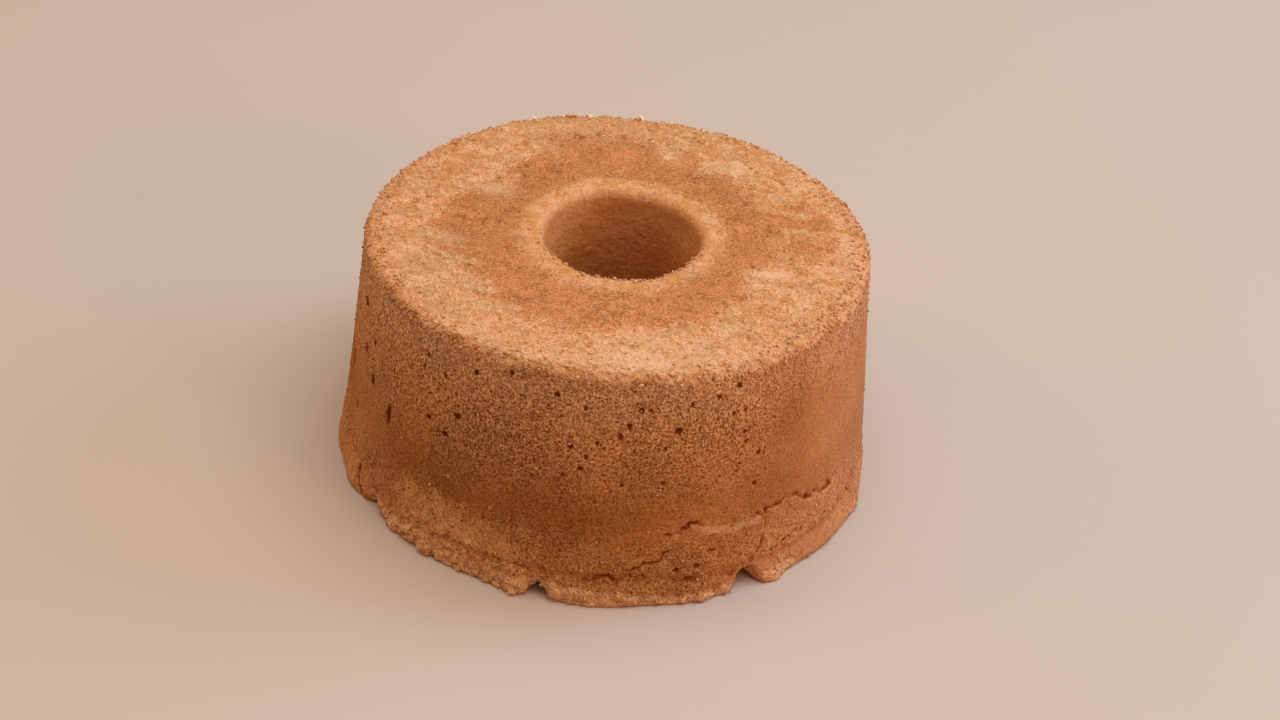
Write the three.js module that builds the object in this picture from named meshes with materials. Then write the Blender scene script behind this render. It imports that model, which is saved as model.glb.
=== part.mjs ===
// A chiffon cake, baked in a tube pan and turned out upside down, in millimetres.
// One solid: a tapered ring with a flat foot, a torn rim round the foot, and a narrowing hole.
// Angles are in degrees round the upright axis: 0 is the front (-Y), 90 is the right (+X).
import * as THREE from 'three';
import { mergeVertices } from 'three/addons/utils/BufferGeometryUtils.js';

// Overall sizes
const HEIGHT = 80;
const WALL_FOOT_RADIUS = 87.4;
const WALL_TOP_RADIUS = 78.1;
const SHOULDER_WIDTH = 3.6;
const SHOULDER_HEIGHT = 2.6;
const HOLE_TOP_RADIUS = 24.6;
const HOLE_FOOT_RADIUS = 20.4;
const HOLE_LIP = 3.4;
const FOOT_CHAMFER = 1.2;

// How far the risen cake departs from a true round: centre offsets, ovals and the slope of the top
const TOP_SHIFT_X = 1.2;
const HOLE_SHIFT_X_FOOT = 1.6;
const HOLE_SHIFT_X_TOP = 2.3;
const FOOT_OVAL = { along: 0.3, across: -1.1 };
const TOP_OVAL = { along: 1.4, across: -0.6 };
const FRONT_RISE = 1.3;
const WALL_WAVE = 0.18;
const WALL_WAVE_START = 14;
const TOP_WAVE = 0.25;
const TOP_WAVE_START = 68;
const HOLE_WAVE = 0.16;
const HOLE_WAVE_REACH = 9;
const WAVE_SEED = 17;
const WAVE_COUNT = 7;
const WAVE_SLANT = 0.12;

// The torn rim, from the foot up to the crease where the smooth wall starts
const RIM_HEIGHT = 9;
const RIM_FLARE = 0.5;
const RIM_INNER_RADIUS = 74;
const RIM_TUCK = 1.2;
const CREASE_DEPTH = 0.8;
const CREASE_HALF_HEIGHT = 1.5;
const CREASE_WAVE = 0.7;

// Where the crease fades out at the front left, so that the wall runs straight into the rim
const CREASE_FADE = { at: -47, width: 14, share: 0.85 };

// Tears and flaps of the rim: where, half-width in degrees, how far out, and how far the edge lifts
const RIM_TEARS = [
  { at: -79, width: 7, out: 1.3, lift: 0.3 },
  { at: -66, width: 5.5, out: 2.0, lift: 0.2 },
  { at: -56, width: 2.4, out: -2.4, lift: 2.2 },
  { at: -44.5, width: 2.2, out: 0.7, lift: 0 },
  { at: -31, width: 9, out: -0.3, lift: 0.2 },
  { at: -16.8, width: 2.4, out: 1.6, lift: 0 },
  { at: -11.8, width: 2.1, out: -4.2, lift: 2.8 },
  { at: 0, width: 6, out: 1.0, lift: 0 },
  { at: 20, width: 5, out: 0.9, lift: 0 },
  { at: 32.6, width: 2.3, out: -5.4, lift: 4.4 },
  { at: 38.5, width: 3.6, out: 2.4, lift: 0 },
  { at: 55, width: 9, out: 1.7, lift: 0.4 },
  { at: 68, width: 6, out: 1.8, lift: 0.3 },
  { at: 96, width: 7, out: -1.0, lift: 0.8 },
  { at: 118, width: 3, out: -2.8, lift: 2.6 },
  { at: 131, width: 6, out: 1.4, lift: 0 },
  { at: 163, width: 8, out: -0.9, lift: 0.6 },
  { at: -171, width: 3, out: -3.2, lift: 3.0 },
  { at: -158, width: 6, out: 1.3, lift: 0 },
  { at: -128, width: 7, out: 1.2, lift: 0.5 },
  { at: -110, width: 3, out: -2.2, lift: 1.8 },
];

// Cracks in the wall, each a line of [angle, height], where the skin split as the cake cooled
const CRACKS = [
  [[14.2, 25.2], [16.8, 25.7], [19.6, 28.8], [22.2, 27.2], [29, 25.8], [36.4, 26.4], [42.3, 28], [47.4, 25.8],
    [50.6, 22.5], [58.3, 21]],
  [[36.4, 26.4], [36, 17], [32.7, 9.2]],
  [[14.7, 19.2], [12.2, 15.8], [6.8, 13.3]],
  [[70.6, 17], [68, 7.5]],
  [[-59.4, 15], [-56.6, 4]],
  [[-67.8, 10], [-61, 1]],
];
const CRACK_DEPTH = 0.9;
const CRACK_HALF_WIDTH = 1.5;

// The slab of wall that slid out a little under the long crack
const SLAB = { from: 16, to: 60, foot: 7, head: 25, edge: 3, out: 0.6 };

// The largest pits that burst bubbles left in the wall
const PITS = [
  { at: -54.9, height: 38, halfWidth: 1.5, halfHeight: 4, depth: 1.6 },
  { at: -63.6, height: 43, halfWidth: 1.6, halfHeight: 2.4, depth: 1.4 },
  { at: -69.4, height: 49.6, halfWidth: 1.6, halfHeight: 1.9, depth: 1.2 },
  { at: -79, height: 36, halfWidth: 1.8, halfHeight: 3.2, depth: 1.4 },
  { at: 148, height: 41, halfWidth: 1.6, halfHeight: 3.4, depth: 1.4 },
  { at: -139, height: 52, halfWidth: 1.6, halfHeight: 2.6, depth: 1.3 },
];
const PIT_SOFTNESS = 1.4;

// The smooth skin kept by the top, a band round the hole, stands over the crumb that peeled
const SKIN_OUTER_RADIUS = 57;
const SKIN_WANDER = 2.4;
const SKIN_STEP = 0.6;
const SKIN_EDGE = 2.5;

// Spacing of the faces: steps round the cake, closer together at the cracked and torn front right
const TURNS = 104;
const CLOSER_AT = 20;
const CLOSER_BY = 0.34;
const FOOT_RADII = [44, 64, RIM_INNER_RADIUS, 81, WALL_FOOT_RADIUS - RIM_TUCK];
const RIM_HEIGHTS = [0.6, 2, 3.8, 5.6, 7.4, 9, 10.8];
const LOW_WALL = { start: 13.2, step: 2.6, steps: 7 };
const HIGH_WALL_STEPS = 11;
const SHOULDER_STEPS = 3;
const TOP_STEPS = 10;
const LIP_STEPS = 3;
const HOLE_STEPS = 6;
const SAME_PLACE = 1e-3;

const radians = (degrees) => degrees * Math.PI / 180;
const degrees = (angle) => angle * 180 / Math.PI;
const blend = (from, to, share) => from + (to - from) * share;

// The turn from one angle to another, between -180 and 180
function turnBetween(angle, centre) {
  return ((angle - centre + 540) % 360) - 180;
}

function ease(value, low, high) {
  const share = Math.min(Math.max((value - low) / (high - low), 0), 1);
  return share * share * (3 - 2 * share);
}

function mound(distance, halfWidth) {
  return Math.exp(-((distance / halfWidth) ** 2));
}

// A seeded draw of numbers from 0 to 1
function drawNumbers(seed, count) {
  const numbers = [];
  let state = seed;
  for (let k = 0; k < count; k += 1) {
    state = (state * 1664525 + 1013904223) % 4294967296;
    numbers.push(state / 4294967296);
  }
  return numbers;
}

// A gentle wave round the cake that drifts with height or radius
const PHASES = drawNumbers(WAVE_SEED, 3 * WAVE_COUNT);
function wave(angle, drift, shift) {
  let sum = 0;
  for (let k = 0; k < WAVE_COUNT; k += 1) {
    const turns = k + 2;
    const phase = 2 * Math.PI * PHASES[(k * 3 + shift) % PHASES.length];
    const slant = (PHASES[(k * 3 + shift + 1) % PHASES.length] - 0.5) * WAVE_SLANT;
    sum += Math.sin(radians(angle) * turns + phase + drift * slant) / Math.sqrt(turns);
  }
  return sum;
}

function oval(angle, size) {
  const turn = radians(2 * angle);
  return -size.along * Math.cos(turn) - size.across * Math.sin(turn);
}

// The shortest way along the wall from a spot to a line of [angle, height] points
function distanceToLine(angle, height, line, radius) {
  let nearest = Infinity;
  for (let k = 0; k + 1 < line.length; k += 1) {
    const [startAngle, startHeight] = line[k];
    const [endAngle, endHeight] = line[k + 1];
    const spotX = radians(turnBetween(angle, startAngle)) * radius;
    const spotY = height - startHeight;
    const alongX = radians(endAngle - startAngle) * radius;
    const alongY = endHeight - startHeight;
    const share = (spotX * alongX + spotY * alongY) / (alongX * alongX + alongY * alongY);
    const held = Math.min(Math.max(share, 0), 1);
    nearest = Math.min(nearest, Math.hypot(spotX - alongX * held, spotY - alongY * held));
  }
  return nearest;
}

// How far the wall stands out from its straight taper
function wallRelief(angle, height, radius) {
  const rise = height / HEIGHT;
  let out = blend(oval(angle, FOOT_OVAL), oval(angle, TOP_OVAL), rise);
  out += WALL_WAVE * wave(angle, height, 0) * ease(height, 0, WALL_WAVE_START);

  const creaseHeight = RIM_HEIGHT + CREASE_WAVE * wave(angle, 0, 2);
  const faded = CREASE_FADE.share * mound(turnBetween(angle, CREASE_FADE.at), CREASE_FADE.width);
  out -= CREASE_DEPTH * (1 - faded) * mound(height - creaseHeight, CREASE_HALF_HEIGHT);
  const rimShare = 1 - ease(height, 0, creaseHeight);
  out += RIM_FLARE * rimShare;
  for (const tear of RIM_TEARS) {
    out += tear.out * rimShare * mound(turnBetween(angle, tear.at), tear.width);
  }
  for (const crack of CRACKS) {
    out -= CRACK_DEPTH * mound(distanceToLine(angle, height, crack, radius), CRACK_HALF_WIDTH);
  }
  const slabSides = ease(angle, SLAB.from, SLAB.from + SLAB.edge)
    * (1 - ease(angle, SLAB.to - SLAB.edge, SLAB.to));
  const slabHeight = ease(height, SLAB.foot, SLAB.foot + SLAB.edge)
    * (1 - ease(height, SLAB.head - SLAB.edge, SLAB.head));
  out += SLAB.out * slabSides * slabHeight;
  for (const pit of PITS) {
    const across = radians(turnBetween(angle, pit.at)) * radius / (pit.halfWidth * PIT_SOFTNESS);
    const up = (height - pit.height) / (pit.halfHeight * PIT_SOFTNESS);
    out -= pit.depth * Math.exp(-across * across - up * up);
  }
  return out;
}

// How far the torn rim's edge is lifted off the surface
function rimLift(angle, radius, height) {
  const outer = ease(radius, RIM_INNER_RADIUS, WALL_FOOT_RADIUS - RIM_TUCK);
  const low = 1 - ease(height, 0, RIM_HEIGHT);
  let lift = 0;
  for (const tear of RIM_TEARS) {
    lift += tear.lift * mound(turnBetween(angle, tear.at), tear.width);
  }
  return lift * outer * low;
}

// How far the top stands over or under its flat height
function topRelief(angle, radius) {
  const forward = Math.cos(radians(angle)) * radius / WALL_TOP_RADIUS;
  const skinRadius = SKIN_OUTER_RADIUS + SKIN_WANDER * wave(angle, 0, 1);
  const peeled = ease(radius, skinRadius - SKIN_EDGE, skinRadius + SKIN_EDGE);
  return FRONT_RISE * forward - SKIN_STEP * peeled + TOP_WAVE * wave(angle, radius, 1);
}

// The outline of half the cake, cut through the axis, as closed points of radius and height
function outline() {
  const points = [];
  const add = (radius, height) => points.push(new THREE.Vector2(radius, height));
  const wallRadius = (height) => blend(WALL_FOOT_RADIUS, WALL_TOP_RADIUS, height / HEIGHT);

  add(HOLE_FOOT_RADIUS + FOOT_CHAMFER, 0);
  FOOT_RADII.forEach((radius) => add(radius, 0));
  RIM_HEIGHTS.forEach((height) => {
    const tuck = RIM_TUCK * (1 - ease(height, 0, RIM_HEIGHTS[1])) / 2;
    add(wallRadius(height) - tuck, height);
  });

  for (let k = 0; k < LOW_WALL.steps; k += 1) {
    const height = LOW_WALL.start + k * LOW_WALL.step;
    add(wallRadius(height), height);
  }
  const highStart = LOW_WALL.start + LOW_WALL.steps * LOW_WALL.step;
  const wallEnd = HEIGHT - SHOULDER_HEIGHT;
  for (let k = 0; k <= HIGH_WALL_STEPS; k += 1) {
    const height = blend(highStart, wallEnd, k / HIGH_WALL_STEPS);
    add(wallRadius(height), height);
  }
  for (let k = 1; k <= SHOULDER_STEPS; k += 1) {
    const turn = radians(90 * k / SHOULDER_STEPS);
    add(WALL_TOP_RADIUS - SHOULDER_WIDTH * (1 - Math.cos(turn)), wallEnd + SHOULDER_HEIGHT * Math.sin(turn));
  }

  const lipRadius = HOLE_TOP_RADIUS + HOLE_LIP;
  for (let k = 1; k <= TOP_STEPS; k += 1) {
    add(blend(WALL_TOP_RADIUS - SHOULDER_WIDTH, lipRadius, k / TOP_STEPS), HEIGHT);
  }
  for (let k = 1; k <= LIP_STEPS; k += 1) {
    const turn = radians(90 * k / LIP_STEPS);
    add(lipRadius - HOLE_LIP * Math.sin(turn), HEIGHT - HOLE_LIP * (1 - Math.cos(turn)));
  }
  for (let k = 1; k <= HOLE_STEPS; k += 1) {
    const share = k / HOLE_STEPS;
    add(blend(HOLE_TOP_RADIUS, HOLE_FOOT_RADIUS, share), blend(HEIGHT - HOLE_LIP, FOOT_CHAMFER, share));
  }
  points.push(points[0].clone());
  return points;
}

// Moves one point of the true round form to where the baked cake has it
function settle(point) {
  const radius = Math.hypot(point.x, point.y);
  const evenAngle = Math.atan2(point.x, -point.y);
  const angle = degrees(evenAngle - CLOSER_BY * Math.sin(evenAngle - radians(CLOSER_AT)));
  const rise = point.z / HEIGHT;

  const wallShare = ease(radius, RIM_INNER_RADIUS, WALL_TOP_RADIUS - SHOULDER_WIDTH / 4);
  const topShare = ease(point.z, TOP_WAVE_START, HEIGHT);
  const holeShare = 1 - ease(radius, HOLE_TOP_RADIUS, HOLE_TOP_RADIUS + HOLE_WAVE_REACH);

  let newRadius = radius + wallShare * wallRelief(angle, point.z, radius);
  newRadius += holeShare * HOLE_WAVE * wave(angle, point.z, 2);
  const newHeight = point.z + topShare * topRelief(angle, radius) + rimLift(angle, radius, point.z);

  const outerShift = TOP_SHIFT_X * rise;
  const holeShift = blend(HOLE_SHIFT_X_FOOT, HOLE_SHIFT_X_TOP, rise);
  const nearHole = 1 - ease(radius, HOLE_FOOT_RADIUS, RIM_INNER_RADIUS);
  const turn = radians(angle);
  point.set(
    Math.sin(turn) * newRadius + blend(outerShift, holeShift, nearHole),
    -Math.cos(turn) * newRadius,
    newHeight,
  );
}

// The cake's solid, with the middle of its foot at the origin
function makeCake() {
  const lathe = new THREE.LatheGeometry(outline(), TURNS);
  lathe.rotateX(Math.PI / 2);
  lathe.deleteAttribute('normal');
  lathe.deleteAttribute('uv');
  const geometry = mergeVertices(lathe, SAME_PLACE);
  const places = geometry.getAttribute('position');
  const point = new THREE.Vector3();
  for (let k = 0; k < places.count; k += 1) {
    point.fromBufferAttribute(places, k);
    settle(point);
    places.setXYZ(k, point.x, point.y, point.z);
  }
  geometry.computeBoundingBox();
  const { min, max } = geometry.boundingBox;
  geometry.translate(-(min.x + max.x) / 2, -(min.y + max.y) / 2, -min.z);
  geometry.computeVertexNormals();
  return geometry;
}

const cakeMaterial = new THREE.MeshStandardMaterial({ color: '#b5713d', roughness: 0.85, metalness: 0 });

const cake = new THREE.Mesh(makeCake(), cakeMaterial);
cake.name = 'chiffon_cake';

const part = new THREE.Group();
part.add(cake);

export default part;
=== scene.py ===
# A chiffon cake from a tube pan, turned out upside down: a tapered ring of sponge in a thin brown
# crust, with bare crumb wherever the crust stayed in the pan. Sizes are in millimetres and angles
# in degrees, 0 at the front (-Y) and 90 at the right (+X); each mesh ends up in metres.
import math
import bmesh
import bpy
import numpy as np
from mathutils import Matrix, Vector


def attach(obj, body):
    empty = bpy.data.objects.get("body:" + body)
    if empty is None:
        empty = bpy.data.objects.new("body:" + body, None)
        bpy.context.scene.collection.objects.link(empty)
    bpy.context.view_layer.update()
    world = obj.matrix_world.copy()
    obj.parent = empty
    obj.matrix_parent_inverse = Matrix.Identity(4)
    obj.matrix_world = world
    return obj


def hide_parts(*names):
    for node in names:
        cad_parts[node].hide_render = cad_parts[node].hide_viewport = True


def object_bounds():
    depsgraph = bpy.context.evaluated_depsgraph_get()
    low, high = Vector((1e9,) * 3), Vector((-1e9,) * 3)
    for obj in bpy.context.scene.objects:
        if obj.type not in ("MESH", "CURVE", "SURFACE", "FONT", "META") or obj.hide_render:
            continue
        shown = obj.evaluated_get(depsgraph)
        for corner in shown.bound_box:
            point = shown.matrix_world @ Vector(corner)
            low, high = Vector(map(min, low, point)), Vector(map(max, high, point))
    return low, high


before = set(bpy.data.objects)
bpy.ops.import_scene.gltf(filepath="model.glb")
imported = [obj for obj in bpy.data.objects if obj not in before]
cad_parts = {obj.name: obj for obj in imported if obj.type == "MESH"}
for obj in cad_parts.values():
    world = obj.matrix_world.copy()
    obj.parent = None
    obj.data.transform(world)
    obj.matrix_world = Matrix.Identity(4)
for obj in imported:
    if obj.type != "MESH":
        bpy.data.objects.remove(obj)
cad_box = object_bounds()
MM = 0.001

# The camera stands a little over half a metre in front of the cake and nearly as high above it.
# It looks down at it through a long lens, and is rolled a few degrees.
CAMERA_PLACE = (-2.87, -570.5, 454.6)
CAMERA_HEADING = -1.37
CAMERA_DOWN = 36.63
CAMERA_ROLL = 4.35
FOCAL_PIXELS = 2160
IMAGE_PIXELS_WIDE = 1280
SENSOR_WIDTH = 36

camera = bpy.data.objects.new("camera", bpy.data.cameras.new("camera"))
camera.data.sensor_width = SENSOR_WIDTH
camera.data.lens = FOCAL_PIXELS / IMAGE_PIXELS_WIDE * SENSOR_WIDTH
camera.matrix_world = (
    Matrix.Translation(Vector(CAMERA_PLACE) * MM)
    @ Matrix.Rotation(math.radians(CAMERA_HEADING), 4, "Z")
    @ Matrix.Rotation(math.radians(90 - CAMERA_DOWN), 4, "X")
    @ Matrix.Rotation(math.radians(CAMERA_ROLL), 4, "Z")
)
bpy.context.scene.collection.objects.link(camera)
bpy.context.scene.camera = camera
bpy.context.scene.view_settings.view_transform = "Standard"

# The light is soft: a broad cool lamp almost overhead, a bluer window behind the cake on the right,
# a small warm lamp and a pink one on the right, one far off on the left, and an even warm glow.
# Each light: angle round the cake, rise, distance, width, watts and colour
LIGHTS = {
    "lamp": (95, 80, 1500, 1500, 23, (0.72, 0.83, 0.96)),
    "window": (106, 28, 1900, 1000, 24, (0.34, 0.55, 1.0)),
    "side": (48, 24, 1900, 380, 4.6, (1.0, 0.70, 0.35)),
    "low": (62, 13, 1900, 600, 4.5, (1.0, 0.56, 0.60)),
    "far_lamp": (-95, 30, 1900, 1000, 7, (1.0, 0.80, 0.62)),
}
GLOW_COLOUR = (1.0, 0.75, 0.55, 1)
GLOW_STRENGTH = 0.39
AIM_HEIGHT = 50

for name, (around, up, away, width, watts, colour) in LIGHTS.items():
    light = bpy.data.objects.new(name, bpy.data.lights.new(name, "AREA"))
    light.data.shape = "DISK"
    light.data.size = width * MM
    light.data.energy = watts
    light.data.color = colour
    turn, rise = math.radians(around), math.radians(up)
    way = Vector((math.sin(turn) * math.cos(rise), -math.cos(turn) * math.cos(rise), math.sin(rise)))
    light.location = (way * away + Vector((0, 0, AIM_HEIGHT))) * MM
    light.rotation_euler = way.to_track_quat("Z", "Y").to_euler()
    bpy.context.scene.collection.objects.link(light)

world = bpy.data.worlds.new("room")
world.use_nodes = True
glow = world.node_tree.nodes["Background"]
glow.inputs["Color"].default_value = GLOW_COLOUR
glow.inputs["Strength"].default_value = GLOW_STRENGTH
bpy.context.scene.world = world

# The cake stands on a plain pale board with a matt face, wide enough to fill the view.
FLOOR_HALF_WIDTH = 1800
FLOOR_COLOUR = (0.54, 0.40, 0.29, 1)
FLOOR_ROUGHNESS = 0.55

shape = bmesh.new()
bmesh.ops.create_grid(shape, x_segments=1, y_segments=1, size=FLOOR_HALF_WIDTH * MM)
floor_mesh = bpy.data.meshes.new("floor")
shape.to_mesh(floor_mesh)
shape.free()
floor = bpy.data.objects.new("floor", floor_mesh)
floor_finish = bpy.data.materials.new("pale_board")
floor_finish.use_nodes = True
floor_shader = floor_finish.node_tree.nodes["Principled BSDF"]
floor_shader.inputs["Base Color"].default_value = FLOOR_COLOUR
floor_shader.inputs["Roughness"].default_value = FLOOR_ROUGHNESS
floor_mesh.materials.append(floor_finish)
bpy.context.scene.collection.objects.link(floor)

# The cake's shape is the pan's: a straight tapered wall, a small shoulder, a sloping top and a
# narrowing hole. It is spun from its outline, then settled to where the risen cake has it.
HEIGHT = 80
WALL_FOOT_RADIUS = 87.4
WALL_TOP_RADIUS = 78.1
SHOULDER_WIDTH = 3.6
SHOULDER_HEIGHT = 2.6
HOLE_TOP_RADIUS = 24.6
HOLE_FOOT_RADIUS = 20.4
HOLE_LIP = 3.4
FOOT_CHAMFER = 1.2
TOP_SHIFT_X = 1.2
HOLE_SHIFT_X_FOOT = 1.6
HOLE_SHIFT_X_TOP = 2.3
FOOT_OVAL = (0.3, -1.1)
TOP_OVAL = (1.4, -0.6)
FRONT_RISE = 1.3
WALL_WAVE = 0.18
WALL_WAVE_START = 14
TOP_WAVE = 0.25
TOP_WAVE_START = 68
HOLE_WAVE = 0.16
HOLE_WAVE_REACH = 9
WAVE_SEED = 17
WAVE_COUNT = 7
WAVE_SLANT = 0.12
RIM_HEIGHT = 9
RIM_FLARE = 0.5
RIM_INNER_RADIUS = 74
RIM_TUCK = 1.2
RIM_TUCK_HEIGHT = 2
CREASE_DEPTH = 0.8
CREASE_HALF_HEIGHT = 1.5
CREASE_WAVE = 0.7
CREASE_FADE_AT, CREASE_FADE_WIDTH, CREASE_FADE_SHARE = -47, 14, 0.85

# Tears and flaps of the rim: angle, half-width, how far out, and how far the edge lifts
RIM_TEARS = [
    (-79, 7, 1.3, 0.3), (-66, 5.5, 2.0, 0.2), (-56, 2.4, -2.4, 2.2), (-44.5, 2.2, 0.7, 0),
    (-31, 9, -0.3, 0.2), (-16.8, 2.4, 1.6, 0), (-11.8, 2.1, -4.2, 2.8), (0, 6, 1.0, 0),
    (20, 5, 0.9, 0), (32.6, 2.3, -5.4, 4.4), (38.5, 3.6, 2.4, 0), (55, 9, 1.7, 0.4),
    (68, 6, 1.8, 0.3), (96, 7, -1.0, 0.8), (118, 3, -2.8, 2.6), (131, 6, 1.4, 0),
    (163, 8, -0.9, 0.6), (-171, 3, -3.2, 3.0), (-158, 6, 1.3, 0), (-128, 7, 1.2, 0.5),
    (-110, 3, -2.2, 1.8),
]

# The slab of wall that slid out a little under the long crack. A run of angles or heights is
# where it starts, where it is full, where it starts to fade and where it has ended.
SLAB_RUN = (15, 18, 57, 60)
SLAB_FOOT = 7
SLAB_SIDE = 3
SLAB_OUT = 0.6

# The pale ridge under the long crack, where the slab's edge stayed pressed shut
RIDGE_RUN = (20, 23, 34, 38)
RIDGE_BELOW = 1.6
RIDGE_HALF_HEIGHT = 1.1
RIDGE_OUT = 0.5

# Cracks, each a line of (angle, height), with its depth and half-width
LONG_CRACK = [
    (14.2, 25.4), (16.8, 25.7), (18.2, 27.9), (19.6, 28.8), (22.2, 27.2), (25.6, 25.8), (31.8, 25.4),
    (36.4, 26.5), (39.8, 26.7), (42.3, 28.2), (45.2, 27.3), (48.3, 23.5), (50.6, 22.5), (53.4, 20.8),
    (58.5, 21.7), (60.5, 23.5),
]
CRACKS = [
    (LONG_CRACK, 1.0, 0.42),
    ([(36.4, 26.5), (36.4, 22.5), (35.9, 16.7), (34.9, 13.3), (32.7, 9.2)], 0.9, 0.4),
    ([(14.7, 19.2), (13.6, 17.9), (12.2, 15.8), (9.7, 15), (6.8, 13.3)], 0.8, 0.5),
    ([(38.5, 10.5), (42, 12.6), (45, 13.4), (47.5, 12.6)], 0.6, 0.5),
    ([(70.6, 17), (69.6, 12.5), (68, 7.5)], 1.2, 0.9),
    ([(-59.4, 15), (-58.2, 9), (-56.6, 4)], 0.9, 0.6),
    ([(-67.8, 10), (-64, 5), (-61, 1)], 1.1, 0.9),
    ([(141, 21), (147, 23), (153, 20.5), (158, 22), (166, 18)], 1.0, 0.6),
    ([(153, 20.5), (152, 14), (155, 9)], 0.8, 0.6),
    ([(-101, 14), (-107, 11.5), (-113, 13.5), (-118, 12)], 0.9, 0.6),
    ([(101, 24), (106, 26), (112, 24.5)], 0.7, 0.5),
]
SEAM = [
    (-58, 6.5), (-50, 8.6), (-40, 9.6), (-30, 10), (-20, 10.4), (-15, 10), (-10.5, 9.2), (-7.6, 8.3),
    (-5.3, 7.8), (0, 9.5), (1.4, 11), (4.1, 9), (7.3, 11), (9, 10), (15.3, 8.3), (22, 8), (29, 6.4),
]
SEAM_DEPTH = 0.9
SEAM_HALF_WIDTH = 0.7

# Pits that burst bubbles left in the wall: angle, height, half-width, half-height and depth
WALL_PITS = [
    (-54.9, 38, 1.3, 4, 1.6), (-63.6, 43, 1.5, 2.2, 1.5), (-69.4, 49.6, 1.5, 1.8, 1.3),
    (-79, 36, 1.7, 3.2, 1.4), (-64.7, 56, 1.2, 1.2, 1.1), (-72.5, 64, 1.5, 1.7, 1.2),
    (-71.8, 25, 1.2, 1.4, 1), (-34, 54, 1.3, 0.95, 1.5), (-41.8, 48.5, 1.2, 0.9, 1.4),
    (-36.6, 46.2, 1.2, 0.9, 1.3), (-30.4, 71.4, 0.95, 1, 1.1), (-11.3, 71.8, 0.9, 0.9, 1.1),
    (-43.8, 69, 0.9, 0.8, 1), (-22, 75, 0.9, 0.9, 1), (-7.5, 55.4, 1, 0.9, 1.2), (-5, 48.3, 1.1, 0.85, 1.4),
    (-1.9, 57.5, 0.8, 0.7, 0.9), (-4, 52.5, 0.7, 0.7, 0.9), (-4.8, 68.7, 0.7, 0.7, 0.9),
    (-38.3, 65.8, 0.7, 0.7, 0.9), (-44.8, 64.6, 0.8, 0.7, 0.9), (15.5, 61.5, 1.2, 1.15, 1.5),
    (4.7, 63.8, 0.95, 1.1, 1.1), (3, 60, 0.9, 0.9, 1), (7.1, 69, 0.95, 0.9, 1.1), (9.1, 68.8, 0.8, 0.8, 1),
    (28.9, 73.6, 1, 1, 1.1), (24.3, 71.3, 0.8, 0.8, 0.9), (18.2, 69.8, 0.7, 0.7, 0.9),
    (27.8, 64.6, 0.7, 0.7, 0.9), (30.7, 64.8, 0.7, 0.7, 0.9), (30.7, 57.3, 0.8, 0.8, 0.9),
    (34.4, 48.5, 0.9, 0.8, 1.1), (12.8, 43.9, 0.8, 0.8, 1), (4, 43.3, 0.75, 0.7, 0.9),
    (12.7, 55.5, 0.7, 0.7, 0.8), (31, 53.8, 0.7, 0.7, 0.8), (33.6, 38.1, 0.8, 0.7, 0.8),
    (20.7, 13.3, 0.9, 0.9, 1), (16.5, 12.5, 1, 0.8, 1), (23.8, 18, 1.4, 0.5, 0.8),
    (148, 41, 1.5, 3.2, 1.4), (-139, 52, 1.5, 2.4, 1.3),
]
# Small splits in the slab's torn skin
DASH_COUNT = 56
DASH_SEED = 31
DASH_FROM, DASH_TO = 5, 52
DASH_FOOT, DASH_HEAD = 9, 25
DASH_HALF_LENGTHS = (0.3, 1.6)
DASH_SLOPE, DASH_SLOPE_SPREAD = 0.2, 0.5
DASH_HALF_WIDTH = 0.4
DASH_DEPTH = 0.2
DASH_SHADES = (0.12, 0.42)

# More pits round the back of the wall, as shares of its height and in sizes of the same kind
MORE_PITS = 46
MORE_PITS_SEED = 5
PITS_FREE_FROM, PITS_FREE_TO = 78, 270
PITS_LOWEST, PITS_SPREAD = 0.45, 0.5
PIT_SMALLEST, PIT_GROWTH = 0.7, 0.8
PIT_HEIGHT_SHARES = (0.75, 1.4)
PIT_BRIM = 1.15

# Pits in the top: x, y, half-width and depth
TOP_PITS = [
    (59, 25, 1.3, 1), (39, 21, 1.3, 1), (20, -49, 1.7, 1.3), (37, -33, 1.1, 0.9), (42, -16.5, 1.5, 0.9),
    (-42, 28, 2.4, 1), (-34, 37, 1.7, 1), (-16, 59, 2.3, 1.5), (-9, 63, 1.8, 1.3), (-1, 62, 1.5, 1.1),
    (8, 61.5, 1.6, 1), (-33, 52, 2.3, 1.2), (-25, 58, 1.5, 1), (-47, -25, 1.4, 1), (-66, 13, 2, 1),
    (52, 37, 1.7, 1), (41, 47, 1.7, 0.9), (21, 24, 1.1, 0.9), (46, 6, 1.1, 0.7), (52, -2, 1.2, 0.7),
    (31, 57, 1.4, 0.9), (-57, 31, 1.5, 0.9), (-8, -62, 1.4, 0.9), (60, -22, 1.2, 0.8), (-50, 3, 1.2, 0.7),
]

# Pale patches of dry crumb on the top: x, y, half-width and strength
PALE_SPOTS = [
    (46, -20, 5, 0.3), (34, -49, 6, 0.2), (7, -68, 8, 0.25), (36, 44, 6, 0.3), (-40, 22, 5, 0.35),
    (-52, -10, 5, 0.25), (15, 50, 4, 0.35), (-28, 52, 5, 0.2), (-58, -30, 8, 0.12), (27, -60, 6, 0.15),
]

# How brown the wall is, by angle and by height, from 0 to 1
BROWN_ROUND = [
    (-150, 0.85), (-100, 0.6), (-60, 0.72), (-44, 0.92), (-29, 1.02), (-14, 1.12), (-1, 0.75), (14, 0.65),
    (31, 0.47), (46, 0.49), (60, 0.46), (95, 0.55), (150, 0.75), (190, 0.6),
]
BROWN_UP = [(0, 0.6), (12, 0.8), (24, 0.95), (36, 1.0), (48, 0.95), (60, 0.75), (72, 0.55), (78, 0.5)]

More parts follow.
